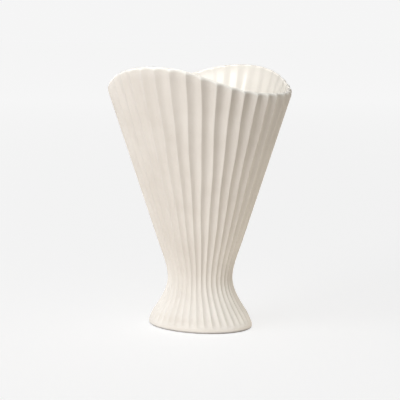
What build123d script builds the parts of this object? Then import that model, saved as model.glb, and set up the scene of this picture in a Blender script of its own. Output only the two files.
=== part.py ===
from build123d import *
import os
from math import atan2, cos, dist, hypot, pi, sin

# A fluted stoneware fan vase, in millimetres. It stands on Z = 0, with +Z up and its long oval axis on X.
# The flutes run unbroken from the wavy rim through the waist to the foot, and fade out above its edge.

# Overall sizes, over the flutes' crests
overall_height = 280.0
mouth_length = 216.0
mouth_width = 202.0

# The throat, where the curved stem turns into the straight flare
throat_height = 92.0
throat_length = 92.5
throat_width = 83.5

# The waist, the narrowest oval
waist_height = 52.0
waist_length = 71.5
waist_width = 64.0

# The ankle, on the spreading foot, and how far the wall moves out there for each unit of drop
ankle_height = 18.0
ankle_length = 102.0
ankle_width = 82.0
ankle_spread_share = 0.7

# The foot: its widest oval, the height of that edge, the rounding under it and the ring that it stands on
foot_length = 117.0
foot_width = 88.0
foot_edge_height = 4.0
foot_edge_round = 2.0
foot_spread_share = 0.35
foot_ring_width = 7.0
foot_recess_depth = 2.5

# Flutes: concave channels between sharp crests, evenly spaced round the mouth
flute_count = 40
flute_depth_share = 0.19
flute_fade_height = 10.0

# The rim: one wave, high over the narrow sides and low over the ends of the long axis
rim_drop = 26.5
rim_crown_share = 0.49
rim_shoulder_share = 0.7

# The wall behind the flutes, where it is thinnest, and how much of each flute shows through to the inside
mouth_wall = 2.6
stem_wall = 4.2
inner_flute_share = 0.45

# The floor inside the foot, the glaze that lines the inside, and how far cuts run past what they cut
floor_thickness = 6.0
glaze_thickness = 0.5
cut_overrun = 12.0

# How many faces hollow out one flute, outside and inside
outer_flute_faces = 4
inner_flute_faces = 2

# How many rows of faces round the foot's edge, and up to the ankle, the waist, the throat and past the rim
edge_rows = 2
outer_rows = (2, 3, 3, 3)
inner_rows = (1, 2, 2, 5)

# Levels and reaches that follow from the sizes above
floor_top = foot_recess_depth + floor_thickness
loft_top = overall_height + cut_overrun
rim_low = overall_height - rim_drop


def smooth(share):
    """A soft step from nought to one."""
    kept = min(max(share, 0), 1)
    return kept * kept * (3 - 2 * kept)


def curve(share, span, start, end, start_slope, end_slope):
    """A cubic that leaves one size at one slope and meets the next at another."""
    leaving = share * (1 - share) ** 2
    arriving = share**2 * (share - 1)
    swing = span * (start_slope * leaving + end_slope * arriving)
    return start + (end - start) * smooth(share) + swing


def half_size(height, foot, ankle, waist, throat, mouth):
    """How far the crests stand from the vase's axis at one height, from the full sizes on one oval axis."""
    flare = (mouth - throat) / (overall_height - throat_height) / 2
    if height >= throat_height:
        return throat / 2 + flare * (height - throat_height)
    lean = foot / foot_length
    stops = (
        (foot_edge_height, foot / 2, -foot_spread_share * lean),
        (ankle_height, ankle / 2, -ankle_spread_share * lean),
        (waist_height, waist / 2, 0),
        (throat_height, throat / 2, flare),
    )
    below = max(stop for stop in range(len(stops) - 1) if stop == 0 or stops[stop][0] <= height)
    low, low_half, low_slope = stops[below]
    high, high_half, high_slope = stops[below + 1]
    return curve((height - low) / (high - low), high - low, low_half, high_half, low_slope, high_slope)


def crest_oval(height):
    """The half length and half width of the oval that the crests lie on at one height."""
    half_length = half_size(height, foot_length, ankle_length, waist_length, throat_length, mouth_length)
    half_width = half_size(height, foot_width, ankle_width, waist_width, throat_width, mouth_width)
    return half_length, half_width


def even_turns(faces):
    """The oval's angles at the crests and, between them, at the edges of the faces in each flute."""
    mouth = Edge.make_ellipse(mouth_length / 2, mouth_width / 2)
    places = [mouth @ (number / flute_count / faces) for number in range(flute_count * faces)]
    return [atan2(place.Y / mouth_width, place.X / mouth_length) for place in places]


crest_turns = even_turns(1)
outer_turns = even_turns(outer_flute_faces)
inner_turns = even_turns(inner_flute_faces)


def oval_point(turn, oval, inset):
    """A point that lies an inset inside an oval, square to it."""
    half_length, half_width = oval
    slant = hypot(half_width * cos(turn), half_length * sin(turn))
    x = half_length * cos(turn) - inset * half_width * cos(turn) / slant
    y = half_width * sin(turn) - inset * half_length * sin(turn) / slant
    return x, y


def flute_depths(oval):
    """How deep each full flute is, from the distance between the crests on either side of it."""
    crests = [oval_point(turn, oval, 0) for turn in crest_turns]
    return [flute_depth_share * dist(crest, after) for crest, after in zip(crests, crests[1:] + crests[:1])]


def fade(height):
    """How much of the flutes' depth is left at one height above the foot's edge."""
    return smooth((height - foot_edge_height) / flute_fade_height)


def fluted_outline(height, turns, oval, inset, depth_share):
    """A closed outline of hollow flutes that meet in crests, or a plain oval where the depth is nought."""
    depths = flute_depths(oval)
    faces = len(turns) // flute_count
    points = []
    for number, turn in enumerate(turns):
        across = number % faces / faces
        hollow = depth_share * depths[number // faces] * 4 * across * (1 - across)
        points.append((*oval_point(turn, oval, inset + hollow), height))
    return Face(Polyline(*points, close=True).wire())


def outer_outline(height):
    """The outside of the wall at one height."""
    return fluted_outline(height, outer_turns, crest_oval(height), 0, fade(height))


def edge_outline(turn):
    """The plain foot's rounded edge, from the ring that it stands on to its widest oval."""
    height = foot_edge_round * (1 - cos(turn))
    inset = foot_edge_round * (1 - sin(turn))
    return fluted_outline(height, outer_turns, crest_oval(foot_edge_height), inset, 0)


def inner_outline(height, lining):
    """The inside at one height, behind a lining: a crease behind each crest, a swell behind each flute."""
    oval = crest_oval(height)
    lean = (crest_oval(height + foot_edge_round)[0] - oval[0]) / foot_edge_round
    rise = max(height - throat_height, 0) / (overall_height - throat_height)
    wall = (stem_wall + (mouth_wall - stem_wall) * rise + lining) * hypot(1, lean)
    crease = wall + fade(height) * (1 - inner_flute_share) * max(flute_depths(oval))
    return fluted_outline(height, inner_turns, oval, crease, inner_flute_share * fade(height))


def row_heights(bottom, rows):
    """The heights of the rows of faces from the bottom of the wall up past the rim."""
    stops = (bottom, ankle_height, waist_height, throat_height, loft_top)
    heights = [loft_top]
    for low, high, steps in zip(stops, stops[1:], rows):
        heights += [low + (high - low) * step / steps for step in range(steps)]
    return sorted(heights)


def build_outside():
    """The solid inside the vase's outer skin, up past the rim."""
    edge = [edge_outline(pi / 2 * row / edge_rows) for row in range(edge_rows + 1)]
    wall = [outer_outline(height) for height in row_heights(foot_edge_height, outer_rows)]
    return loft(edge + wall, ruled=True)


def build_inside(lining):
    """The space inside the wall behind a lining, from the floor up past the rim."""
    heights = row_heights(floor_top + lining, inner_rows)
    return loft([inner_outline(height, lining) for height in heights], ruled=True)


def build_above_rim():
    """All that lies over the rim's wave, which runs straight through from front to back."""
    reach = crest_oval(rim_low)[0]
    past = mouth_length / 2 + cut_overrun
    top = loft_top + cut_overrun
    wave = Bezier(
        (0, 0, overall_height),
        (rim_crown_share * reach, 0, overall_height),
        (rim_shoulder_share * reach, 0, rim_low),
        (reach, 0, rim_low),
    )
    ends = [(reach, 0, rim_low), (past, 0, rim_low), (past, 0, top), (0, 0, top), (0, 0, overall_height)]
    over_half_the_wave = Face(Wire([wave, *Polyline(*ends).edges()]))
    half = extrude(over_half_the_wave, mouth_width / 2 + cut_overrun, (0, 1, 0), both=True)
    return half + mirror(half, Plane.YZ)


def build_recess():
    """The shallow hollow under the floor, inside the ring that the foot stands on."""
    inset = foot_edge_round + foot_ring_width
    oval = Ellipse(foot_length / 2 - inset, foot_width / 2 - inset)
    return extrude(oval, foot_recess_depth)


def build_vase():
    """The stoneware body and the glaze that lines it, each as a solid of its own."""
    above_rim = build_above_rim()
    inside = build_inside(0)
    stoneware_body = build_outside() - inside - build_recess() - above_rim
    interior_glaze = inside - build_inside(glaze_thickness) - above_rim
    return {"stoneware_body": stoneware_body, "interior_glaze": interior_glaze}


os.makedirs("parts", exist_ok=True)
for name, solid in build_vase().items():
    export_step(solid, f"parts/{name}.step")
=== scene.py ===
from math import cos, hypot, pi, radians, sin

import bpy
import numpy as np
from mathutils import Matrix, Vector


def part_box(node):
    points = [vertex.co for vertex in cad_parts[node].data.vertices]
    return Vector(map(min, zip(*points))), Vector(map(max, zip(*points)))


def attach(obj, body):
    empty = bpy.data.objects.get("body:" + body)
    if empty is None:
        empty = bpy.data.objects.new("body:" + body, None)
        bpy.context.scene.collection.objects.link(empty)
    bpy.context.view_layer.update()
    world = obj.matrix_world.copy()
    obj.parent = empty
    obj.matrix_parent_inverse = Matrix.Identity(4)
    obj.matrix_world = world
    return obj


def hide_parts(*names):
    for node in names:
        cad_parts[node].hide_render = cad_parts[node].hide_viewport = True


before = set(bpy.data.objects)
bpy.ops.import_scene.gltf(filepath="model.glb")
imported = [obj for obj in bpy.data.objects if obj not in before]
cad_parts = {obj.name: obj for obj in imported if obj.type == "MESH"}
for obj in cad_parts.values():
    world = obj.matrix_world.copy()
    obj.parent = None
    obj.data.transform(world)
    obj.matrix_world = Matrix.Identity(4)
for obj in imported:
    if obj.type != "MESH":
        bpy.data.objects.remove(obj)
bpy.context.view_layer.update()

# The vase's sizes, in metres. Heights are above the surface that it stands on.
overall_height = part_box("stoneware_body")[1].z
mouth_length = 0.216
mouth_width = 2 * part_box("stoneware_body")[1].y
throat_height = 0.092
throat_length = 0.0925
throat_width = 0.0835
waist_height = 0.052
waist_length = 0.0715
waist_width = 0.064
ankle_height = 0.018
ankle_length = 0.102
ankle_width = 0.082
ankle_spread_share = 0.7
foot_length = 0.117
foot_width = 0.088
foot_edge_height = 0.004
foot_edge_round = 0.0016
foot_spread_share = 0.35
foot_ring_width = 0.007
foot_recess_depth = 0.0025
floor_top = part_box("interior_glaze")[0].z

# Flutes: hollow channels that meet in slightly rounded crests
flute_count = 40
flute_depth_share = 0.19
flute_fade_height = 0.007
crest_softness_share = 0.08
inner_flute_share = 0.4

# The hand-made waver: how far crests stray sideways, as a share of a flute, and how much the depth varies.
# Each wanders over its own length in metres, and the step in phase keeps any two flutes from moving alike.
# The straying sets in over a short rise above the foot's edge.
crest_stray_share = 0.07
crest_stray_length = 0.021
crest_stray_phase = 0.4
crest_stray_rise = 0.02
depth_waver_share = 0.12
depth_waver_length = 0.034
depth_waver_phase = 1.9
flute_phase_step = 2.399963

# The wavy rim and its rounded lip. The hand-made wave is turned by a few hundredths of a radian, dips less
# at its left end, and sags a little at the back and, between two angles, along the near right side. Left,
# right, near and back are as the camera sees the vase.
rim_drop = 0.0264
rim_left_drop = 0.0254
rim_back_dip = 0.0014
rim_near_dip = 0.0015
near_dip_start, near_dip_rise = radians(-73), radians(15)
near_dip_end, near_dip_fall = radians(34), radians(28)
rim_turn = 0.042
rim_crown_share = 0.57
rim_shoulder_share = 0.74
lip_clearance = 0.0004
lip_height_share = 0.85

# Walls, and the glaze that begins a few rows up the outside of the rounded lip
mouth_wall = 0.0026
stem_wall = 0.0042
glaze_thickness = 0.0004
glaze_growth_rows = 4
glaze_first_lip_row = 3

# Where the columns of a flute's mesh stand across it, closest together at the crests
column_shares = (0, 0.035, 0.085, 0.16, 0.26, 0.38, 0.5, 0.62, 0.74, 0.84, 0.915, 0.965)

# Rows of the mesh, and how much closer together those of the stem stand towards the foot
edge_rows = 6
stem_rows = 34
flare_rows = 26
lip_rows = 13
inner_flare_rows = 20
inner_stem_rows = 18
stem_bunching = 1.15

# Steps in the walk round the mouth and along the rim's wave, and rounds that bring each column to the wave
mouth_walk_steps = 7200
wave_steps = 400
rim_search_rounds = 16


def smooth(share):
    """A soft step from nought to one."""
    kept = np.clip(share, 0, 1)
    return kept * kept * (3 - 2 * kept)


def hermite(share, span, start, end, start_slope, end_slope):
    """A cubic that leaves one size at one slope and meets the next at another."""
    leaving = share * (1 - share) ** 2
    arriving = share**2 * (share - 1)
    return start + (end - start) * smooth(share) + span * (start_slope * leaving + end_slope * arriving)


def half_size(height, foot, ankle, waist, throat, mouth):
    """How far the crests stand from the axis at each height, from the full sizes along one oval axis."""
    flare = (mouth - throat) / (overall_height - throat_height) / 2
    lean = foot / foot_length
    stops = (
        (foot_edge_height, foot / 2, -foot_spread_share * lean),
        (ankle_height, ankle / 2, -ankle_spread_share * lean),
        (waist_height, waist / 2, 0),
        (throat_height, throat / 2, flare),
    )
    found = throat / 2 + flare * (height - throat_height)
    for (low, low_half, low_slope), (high, high_half, high_slope) in zip(stops, stops[1:]):
        share = (height - low) / (high - low)
        part = hermite(share, high - low, low_half, high_half, low_slope, high_slope)
        found = np.where(height < high, np.where(height >= low, part, found), found)
    return np.where(height < foot_edge_height, foot / 2, found)


def crest_oval(height):
    """The half length and half width of the oval that the crests lie on at each height."""
    half_length = half_size(height, foot_length, ankle_length, waist_length, throat_length, mouth_length)
    half_width = half_size(height, foot_width, ankle_width, waist_width, throat_width, mouth_width)
    return half_length, half_width


def turn_table():
    """Oval angles against the share of the way round the mouth, from a fine walk round it."""
    angles = np.linspace(0, 2 * pi, mouth_walk_steps + 1)
    x, y = mouth_length / 2 * np.cos(angles), mouth_width / 2 * np.sin(angles)
    way = np.concatenate([[0], np.cumsum(np.hypot(np.diff(x), np.diff(y)))])
    return way / way[-1], angles


way_shares, way_angles = turn_table()
column_count = flute_count * len(column_shares)
flute_numbers = np.repeat(np.arange(flute_count), len(column_shares))
across_shares = np.tile(column_shares, flute_count)


def turn_at(way):
    """The oval angle at a share of the way round, past either end of the walk too."""
    return np.interp(way % 1, way_shares, way_angles) + 2 * pi * np.floor(way)


def waver(height, start_phase, length):
    """A gentle wander between minus one and one that differs from flute to flute and along each."""
    phase = start_phase + flute_numbers * flute_phase_step
    beat = height / length
    waves = np.sin(beat + phase), np.sin(1.7 * beat + 2.3 * phase), np.sin(0.6 * beat + 3.1 * phase)
    return sum(waves) / len(waves)


def next_crest(values):
    """For each column, the same value at the next flute's crest."""
    return np.roll(values, -len(column_shares), axis=-1)


def column_turns(height):
    """The oval angle of each column at each height, with the crests straying a little."""
    rise = smooth((height - foot_edge_height) / crest_stray_rise)
    stray = crest_stray_share * waver(height, crest_stray_phase, crest_stray_length) * rise
    shift = stray * (1 - across_shares) + next_crest(stray) * across_shares
    return turn_at((flute_numbers + across_shares + shift) / flute_count)


def fade(height):
    """How much of the flutes' depth is left at each height above the foot's edge."""
    return smooth((height - foot_edge_height) / flute_fade_height)


def full_depth(height):
    """The depth of each column's whole flute, from the distance between its crests."""
    half_length, half_width = crest_oval(height)
    start = turn_at(flute_numbers / flute_count)
    end = turn_at((flute_numbers + 1) / flute_count)
    middle = (start + end) / 2
    pitch = np.hypot(half_length * np.sin(middle), half_width * np.cos(middle)) * (end - start)
    change = depth_waver_share * waver(height, depth_waver_phase, depth_waver_length)
    return flute_depth_share * pitch * (1 + change)


def on_oval(height, inset):
    """Points that lie an inset inside the crests' oval, square to it, one for each row and column."""
    half_length, half_width = crest_oval(height)
    turn = column_turns(height)
    slant = np.hypot(half_width * np.cos(turn), half_length * np.sin(turn))
    x = half_length * np.cos(turn) - inset * half_width * np.cos(turn) / slant
    y = half_width * np.sin(turn) - inset * half_length * np.sin(turn) / slant
    return np.stack([x, y, height + 0 * x], axis=-1)


def outer_hollow(height):
    """How far the outside lies inside the crests' oval: hollow across each flute, with rounded crests."""
    arch = np.sqrt(np.sin(pi * across_shares) ** 2 + crest_softness_share**2) - crest_softness_share
    crown = hypot(1, crest_softness_share) - crest_softness_share
    return full_depth(height) * fade(height) * arch / crown


def inner_inset(height):
    """How far the inside lies inside the crests' oval, with a crease behind each crest."""
    flare = (mouth_length - throat_length) / (overall_height - throat_height) / 2
    rise = np.clip((height - throat_height) / (overall_height - throat_height), 0, 1)
    wall = (stem_wall + (mouth_wall - stem_wall) * rise) * hypot(1, flare)
    depth = full_depth(height) * fade(height)
    swell = (1 - np.cos(2 * pi * across_shares)) / 2
    return wall + depth * (1 - inner_flute_share + inner_flute_share * swell)


def near_dip(place):
    """How far the rim sags along its near right side at each place round it."""
    angle = np.arctan2(place[:, 1], place[:, 0])
    rise = smooth((angle - near_dip_start) / near_dip_rise)
    fall = smooth((near_dip_end - angle) / near_dip_fall)
    return rim_near_dip * rise * fall


def rim_height(place):
    """The height of the rim's wave at each place round it."""
    reach = crest_oval(np.array(overall_height - rim_drop))[0]
    t = np.linspace(0, 1, wave_steps + 1)
    along = 3 * (1 - t) ** 2 * t * rim_crown_share + 3 * (1 - t) * t**2 * rim_shoulder_share + t**3
    low = 3 * (1 - t) * t**2 + t**3
    side = (place[:, 0] * cos(rim_turn) - place[:, 1] * sin(rim_turn)) / reach
    drop = np.where(side > 0, rim_drop, rim_left_drop) * np.interp(np.abs(side), along, low)
    back_dip = rim_back_dip * smooth(place[:, 1] / mouth_width * 2)
    return overall_height - lip_clearance - drop - back_dip - near_dip(place)


def lip_heights():
    """The height at which each column meets the rim's wave, in the middle of the wall."""
    height = np.full(column_count, overall_height)
    for _ in range(rim_search_rounds):
        inset = (outer_hollow(height) + inner_inset(height)) / 2
        height = rim_height(on_oval(height, inset))
    return height


def ring_mesh(name, rows, first_pole, last_pole):
    """A closed mesh from rows of points round the vase, shut by a point at either end."""
    row_count = len(rows)
    points = np.concatenate([np.array(rows).reshape(-1, 3), [first_pole, last_pole]])
    faces = []
    for row in range(row_count - 1):
        for column in range(column_count):
            after = (column + 1) % column_count
            low, high = row * column_count, (row + 1) * column_count
            faces.append((low + column, low + after, high + after, high + column))
    first, last = row_count * column_count, row_count * column_count + 1
    top = (row_count - 1) * column_count
    for column in range(column_count):
        after = (column + 1) % column_count
        faces.append((first, after, column))
        faces.append((last, top + column, top + after))
    mesh = bpy.data.meshes.new(name)
    mesh.from_pydata(points.tolist(), [], faces)
    mesh.polygons.foreach_set("use_smooth", [True] * len(faces))
    mesh.update()
    piece = bpy.data.objects.new(name, mesh)
    bpy.context.scene.collection.objects.link(piece)
    return piece


def plain_ring(inset, height):
    """A plain oval row under the foot."""
    row = on_oval(np.full(column_count, foot_edge_height), np.full(column_count, inset))
    row[:, 2] = height
    return row


def outer_rows(lip):
    """Rows of the outside, from the ring that the vase stands on up to the rounding of the lip."""
    rows = []
    for turn in np.linspace(0, pi / 2, edge_rows):
        rows.append(plain_ring(foot_edge_round * (1 - sin(turn)), foot_edge_round * (1 - cos(turn))))
    for share in np.linspace(0, 1, stem_rows) ** stem_bunching:
        height = np.full(column_count, foot_edge_height + (throat_height - foot_edge_height) * share)
        rows.append(on_oval(height, outer_hollow(height)))
    for share in np.linspace(0, 1, flare_rows)[1:]:
        height = throat_height + (lip - throat_height) * share
        rows.append(on_oval(height, outer_hollow(height)))
    return rows


def lip_row(turn, lip, rounding):
    """One row over the rounded lip, from the outside at no turn to the inside at half a turn."""
    height = lip + rounding * sin(turn)
    outside = on_oval(lip, outer_hollow(lip))
    inside = on_oval(lip, inner_inset(lip))
    row = outside + (inside - outside) * (1 - cos(turn)) / 2
    row[:, 2] = height
    return row


def inner_rows(lip):
    """Rows of the inside, from the lip down to the floor."""
    rows = []
    for share in np.linspace(1, 0, inner_flare_rows)[1:]:
        height = throat_height + (lip - throat_height) * share
        rows.append(on_oval(height, inner_inset(height)))
    for share in np.linspace(1, 0, inner_stem_rows)[1:]:
        height = np.full(column_count, floor_top + (throat_height - floor_top) * share)
        rows.append(on_oval(height, inner_inset(height)))
    return rows


def row_normals(rows):
    """The outward direction at each point of a grid of rows."""
    grid = np.array(rows)
    around = np.roll(grid, -1, axis=1) - np.roll(grid, 1, axis=1)
    along = np.gradient(grid, axis=0)
    normals = np.cross(around, along)
    return normals / np.linalg.norm(normals, axis=2, keepdims=True)


def build_vase():
    """The stoneware body, and the glaze that lines it from over the lip down to the floor."""
    crown = lip_heights()
    width = outer_hollow(crown)
    rounding = lip_height_share * (inner_inset(crown) - width)
    lip = crown - rounding
    over_lip = [lip_row(turn, lip, rounding) for turn in np.linspace(0, pi, lip_rows)[1:]]
    outside = outer_rows(lip)
    inside = inner_rows(lip)
    recess = foot_edge_round + foot_ring_width
    under = [plain_ring(recess, foot_recess_depth), plain_ring(recess, 0)]
    body_rows = under + outside + over_lip + inside
    body = ring_mesh("fluted_stoneware", body_rows, (0, 0, foot_recess_depth), (0, 0, floor_top))
    # How far each row lies up the lip's outer rounding, which painted light makes paler up to the glaze's
    # edge
    rows_up_lip = np.arange(len(body_rows)) - (len(under) + len(outside) - 1)
    mark_lip_light(body, np.clip(rows_up_lip / (glaze_first_lip_row + 1), 0, 1))

    backing = over_lip[glaze_first_lip_row:] + inside
    growth = np.minimum(np.arange(len(backing)) / glaze_growth_rows, 1)[:, None, None]
    normals = row_normals(over_lip[glaze_first_lip_row - 1 :] + inside)[1:]
    facing = np.array(backing) + glaze_thickness * growth * normals
    glaze = glaze_skin(facing, np.array(backing))
    return body, glaze


def mark_lip_light(piece, shares):
    """Stores how far each row's points lie up the band of painted light below the glaze, and then both
    poles.
    """
    values = np.append(np.repeat(shares, column_count), (shares[0], shares[-1]))
    layer = piece.data.attributes.new("lip_light_share", "FLOAT", "POINT")
    layer.data.foreach_set("value", values)


def glaze_skin(facing, backing):
    """A closed skin: its face, and behind it the stoneware that it lies on."""
    rows = list(backing[::-1]) + list(facing[1:])
    skin = ring_mesh("glazed_lining", rows, (0, 0, floor_top), (0, 0, floor_top + glaze_thickness))
    glaze_edge = len(backing) - 1
    for edge in skin.data.edges:
        edge.use_edge_sharp = all(point // column_count == glaze_edge for point in edge.vertices)
    return skin


def new_material(name):
    """A node material with its principled shader."""
    material = bpy.data.materials.new(name)
    material.use_nodes = True
    return material, material.node_tree, material.node_tree.nodes["Principled BSDF"]


def noise(tree, size, detail, roughness, stretch=(1, 1, 1)):
    """A noise pattern in the object's own space, with features of about one size in metres."""
    place = tree.nodes.new("ShaderNodeTexCoord")
    mapping = tree.nodes.new("ShaderNodeMapping")
    mapping.inputs["Scale"].default_value = stretch
    pattern = tree.nodes.new("ShaderNodeTexNoise")
    pattern.inputs["Scale"].default_value = 1 / size
    pattern.inputs["Detail"].default_value = detail
    pattern.inputs["Roughness"].default_value = roughness
    tree.links.new(place.outputs["Object"], mapping.inputs["Vector"])
    tree.links.new(mapping.outputs["Vector"], pattern.inputs["Vector"])
    return pattern.outputs["Fac"]


def ramp(tree, source, stops):
    """A colour ramp over a pattern."""
    node = tree.nodes.new("ShaderNodeValToRGB")
    elements = node.color_ramp.elements
    while len(elements) < len(stops):
        elements.new(0.5)
    for element, (place, colour) in zip(elements, stops):
        element.position = place
        element.color = (*colour, 1)
    tree.links.new(source, node.inputs["Fac"])
    return node.outputs["Color"]


def mixed(tree, kind, first, second, share):
    """Two colours mixed by one share or pattern."""
    node = tree.nodes.new("ShaderNodeMix")
    node.data_type = "RGBA"
    node.blend_type = kind
    for socket, value in (("A", first), ("B", second)):
        target = next(s for s in node.inputs if s.name == socket and s.type == "RGBA")
        if isinstance(value, tuple):
            target.default_value = (*value, 1)
        else:
            tree.links.new(value, target)
    if isinstance(share, float):
        node.inputs["Factor"].default_value = share
    else:
        tree.links.new(share, node.inputs["Factor"])
    return next(s for s in node.outputs if s.type == "RGBA")


def mapped(tree, source, low, high, new_low, new_high):
    """A pattern's values moved from one range to another."""
    node = tree.nodes.new("ShaderNodeMapRange")
    for name, value in (("From Min", low), ("From Max", high), ("To Min", new_low), ("To Max", new_high)):
        node.inputs[name].default_value = value
    tree.links.new(source, node.inputs["Value"])
    return node.outputs["Result"]


def bumped(tree, source, depth, strength, under=None):
    """A bump of one depth in metres, over another bump if there is one."""
    node = tree.nodes.new("ShaderNodeBump")
    node.inputs["Strength"].default_value = strength
    node.inputs["Distance"].default_value = depth
    tree.links.new(source, node.inputs["Height"])
    if under:
        tree.links.new(under, node.inputs["Normal"])
    return node.outputs["Normal"]


def stoneware_material():
    """Unglazed, sanded off-white stoneware: fine grain, faint clouds, tiny specks, and painted light that
    makes the lip paler.
    """
    material, tree, shader = new_material("matte_stoneware")
    clouds = noise(tree, size=0.035, detail=4, roughness=0.55)
    grain = noise(tree, size=0.0009, detail=5, roughness=0.7)
    specks = noise(tree, size=0.0026, detail=1, roughness=0.4)
    tone = ramp(tree, clouds, ((0.3, stone_deep), (0.7, stone_pale)))
    shade = ramp(tree, grain, ((0.25, grain_shade), (0.75, (1, 1, 1))))
    grained = mixed(tree, "MULTIPLY", tone, shade, 0.6)
    speck_mask = mapped(tree, specks, 0.76, 0.83, 0, 0.35)
    colour = mixed(tree, "MIX", grained, stone_speck, speck_mask)
    # Painted light: the lip's outer rounding is mixed towards a paler colour as it nears the glaze's edge
    lip_light_share = tree.nodes.new("ShaderNodeAttribute")
    lip_light_share.attribute_name = "lip_light_share"
    lip_lit_colour = mixed(tree, "MIX", colour, lip_painted_light, lip_light_share.outputs["Fac"])
    tree.links.new(lip_lit_colour, shader.inputs["Base Color"])
    tree.links.new(mapped(tree, grain, 0.3, 0.7, 0.78, 0.92), shader.inputs["Roughness"])
    shader.inputs["Specular IOR Level"].default_value = 0.25
    drag = noise(tree, size=0.004, detail=3, roughness=0.5, stretch=(1, 1, 0.12))
    dragged = bumped(tree, drag, depth=0.0005, strength=0.2)
    rough = bumped(tree, grain, depth=0.00012, strength=0.6, under=dragged)
    tree.links.new(rough, shader.inputs["Normal"])
    return material


def glaze_material():
    """Clear glossy glaze over pale stoneware, with a faint wave and pinholes, deeper where it pools."""
    material, tree, shader = new_material("glossy_glaze")
    pooling = noise(tree, size=0.02, detail=3, roughness=0.5)
    tone = ramp(tree, pooling, ((0.3, glaze_deep), (0.7, glaze_pale)))
    tree.links.new(tone, shader.inputs["Base Color"])
    haze = noise(tree, size=0.02, detail=1, roughness=0.5)
    tree.links.new(mapped(tree, haze, 0.3, 0.7, 0.2, 0.26), shader.inputs["Roughness"])
    shader.inputs["IOR"].default_value = 1.52
    shader.inputs["Coat Weight"].default_value = 0.2
    shader.inputs["Coat Roughness"].default_value = 0.1
    wave = noise(tree, size=0.012, detail=1, roughness=0.4)
    waved = bumped(tree, wave, depth=0.0004, strength=0.08)
    dots = noise(tree, size=0.0018, detail=0, roughness=0.5)
    pits = mapped(tree, dots, 0.78, 0.86, 0, -1)
    pitted = bumped(tree, pits, depth=0.0001, strength=0.3, under=waved)
    tree.links.new(pitted, shader.inputs["Normal"])
    return material


# Colours, as the share of red, green and blue light that each surface returns
stone_pale = (0.65, 0.605, 0.55)
stone_deep = (0.60, 0.552, 0.495)
stone_speck = (0.36, 0.30, 0.24)
# Painted light: the paler colour of the lip's outer rounding, where it faces up to the light
lip_painted_light = (0.73, 0.69, 0.63)
grain_shade = (0.9, 0.89, 0.88)
glaze_pale = (0.80, 0.77, 0.72)
glaze_deep = (0.785, 0.755, 0.703)
paper = (0.4, 0.4, 0.4)

# The floor, and its glow near the vase and far from it
floor_radius = 60
glow_near, glow_near_reach = 0.795, 0.1
glow_far, glow_far_reach = 0.88, 4.6

# The surround at the horizon and overhead, and between which rises it changes
surround_low = (0.915, 0.915, 0.915)
surround_high = (0.04, 0.04, 0.04)
surround_change_start = 0.12
surround_change_end = 0.3

# The camera, where the photograph was taken from, in metres and degrees, with lens and sensor in millimetres
camera_distance = 1.3074
camera_height = 0.3107
camera_turn = 27.19
camera_pitch = 7.62
camera_lens = 110.8
camera_sensor = 36

# The height on the vase's axis that every light points at
light_aim_height = 0.14


def add_camera():
    """A camera without roll that looks at the vase's axis from the photograph's place."""
    turn = radians(camera_turn)
    data = bpy.data.cameras.new("photo_camera")
    data.lens = camera_lens
    data.sensor_width = camera_sensor
    data.clip_start = 0.01
    camera = bpy.data.objects.new("photo_camera", data)
    camera.location = (camera_distance * sin(turn), -camera_distance * cos(turn), camera_height)
    camera.rotation_euler = (pi / 2 - radians(camera_pitch), 0, turn)
    bpy.context.scene.collection.objects.link(camera)
    bpy.context.scene.camera = camera


def add_floor():
    """A wide pale floor that glows nearly evenly, as a lit studio sweep does."""
    bpy.ops.mesh.primitive_circle_add(vertices=64, radius=floor_radius, fill_type="NGON")
    floor = bpy.context.object
    floor.name = "studio_floor"
    material, tree, shader = new_material("studio_paper")
    shader.inputs["Base Color"].default_value = (*paper, 1)
    shader.inputs["Roughness"].default_value = 0.9
    shader.inputs["Specular IOR Level"].default_value = 0.0
    shader.inputs["Emission Color"].default_value = (1, 1, 1, 1)
    place = tree.nodes.new("ShaderNodeTexCoord")
    reach = tree.nodes.new("ShaderNodeVectorMath")
    reach.operation = "LENGTH"
    tree.links.new(place.outputs["Object"], reach.inputs[0])
    away = reach.outputs["Value"]
    glow = mapped(tree, away, glow_near_reach, glow_far_reach, glow_near, glow_far)
    tree.links.new(glow, shader.inputs["Emission Strength"])
    floor.data.materials.append(material)
    return floor


def lit_group(name, *pieces):
    """A collection of the pieces that one light reaches."""
    group = bpy.data.collections.new(name)
    for piece in pieces:
        group.objects.link(piece)
    return group


def add_light(name, side, elevation, distance, size, power, colour, lit):
    """A soft square light that points at the vase, at degrees round from the camera and up."""
    turn = radians(camera_turn) + radians(side)
    data = bpy.data.lights.new(name, "AREA")
    data.shape = "SQUARE"
    data.size = size
    data.energy = power
    data.color = colour
    light = bpy.data.objects.new(name, data)
    reach = distance * cos(radians(elevation))
    rise = distance * sin(radians(elevation))
    light.location = (reach * sin(turn), -reach * cos(turn), light_aim_height + rise)
    aim = Vector((0, 0, light_aim_height)) - light.location
    light.rotation_euler = aim.to_track_quat("-Z", "Y").to_euler()
    light.light_linking.receiver_collection = lit
    light.visible_camera = False
    bpy.context.scene.collection.objects.link(light)


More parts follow.
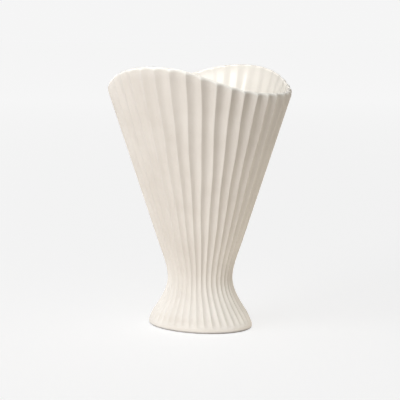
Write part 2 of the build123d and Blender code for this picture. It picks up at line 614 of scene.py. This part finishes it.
def add_world():
    """An even studio surround: bright at the level of the horizon, and dimmer overhead."""
    world = bpy.data.worlds.new("studio_surround")
    world.use_nodes = True
    tree = world.node_tree
    back = tree.nodes["Background"]
    place = tree.nodes.new("ShaderNodeTexCoord")
    split = tree.nodes.new("ShaderNodeSeparateXYZ")
    tree.links.new(place.outputs["Generated"], split.inputs["Vector"])
    height = mapped(tree, split.outputs["Z"], surround_change_start, surround_change_end, 0, 1)
    glow = ramp(tree, height, ((0, surround_low), (1, surround_high)))
    tree.links.new(glow, back.inputs["Color"])
    bpy.context.scene.world = world


body, glaze = build_vase()
body.data.materials.append(stoneware_material())
glaze.data.materials.append(glaze_material())
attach(body, "root")
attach(glaze, "root")
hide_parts("stoneware_body")
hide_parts("interior_glaze")

add_camera()
floor = add_floor()

# The floor's glow reaches all but the outside, which the light named floor_bounce reaches instead
floor.light_linking.receiver_collection = lit_group("past_the_outside", glaze, floor)

# Each light's side and elevation in degrees, distance and size in metres, power in watts, and colour
outside = lit_group("outside", body)
inside = lit_group("inside", glaze)
ground = lit_group("ground", floor)
add_light("window", -32, 50, 1.6, 0.9, 24.5, (0.87, 0.96, 1), outside)
add_light("window_on_floor", -60, 10, 4, 4, 140, (1, 1, 1), ground)
add_light("window_sill", -30, 8, 1.6, 0.8, 10.5, (1, 0.94, 0.98), outside)
add_light("right_wall", 125, 12, 1.6, 1, 8, (1, 0.94, 0.89), outside)
add_light("right_sill", 85, -25, 0.28, 0.1, 0.19, (1, 0.95, 0.86), outside)
add_light("left_wall", -120, 15, 1.6, 1, 13, (0.82, 0.88, 1), outside)
add_light("ceiling", 10, 76, 1.5, 1.6, 4, (1, 0.98, 0.95), outside)
add_light("floor_bounce", 0, -90, 0.138, 1.5, 5.4, (1, 0.95, 0.85), outside)
add_light("inner_overhead", -14, 58, 1.5, 1.6, 32.5, (1, 0.99, 0.97), inside)
add_light("inner_window", -45, 42, 1.6, 0.4, 1.5, (1, 0.99, 0.97), inside)
add_world()
bpy.context.scene.view_settings.view_transform = "Standard"
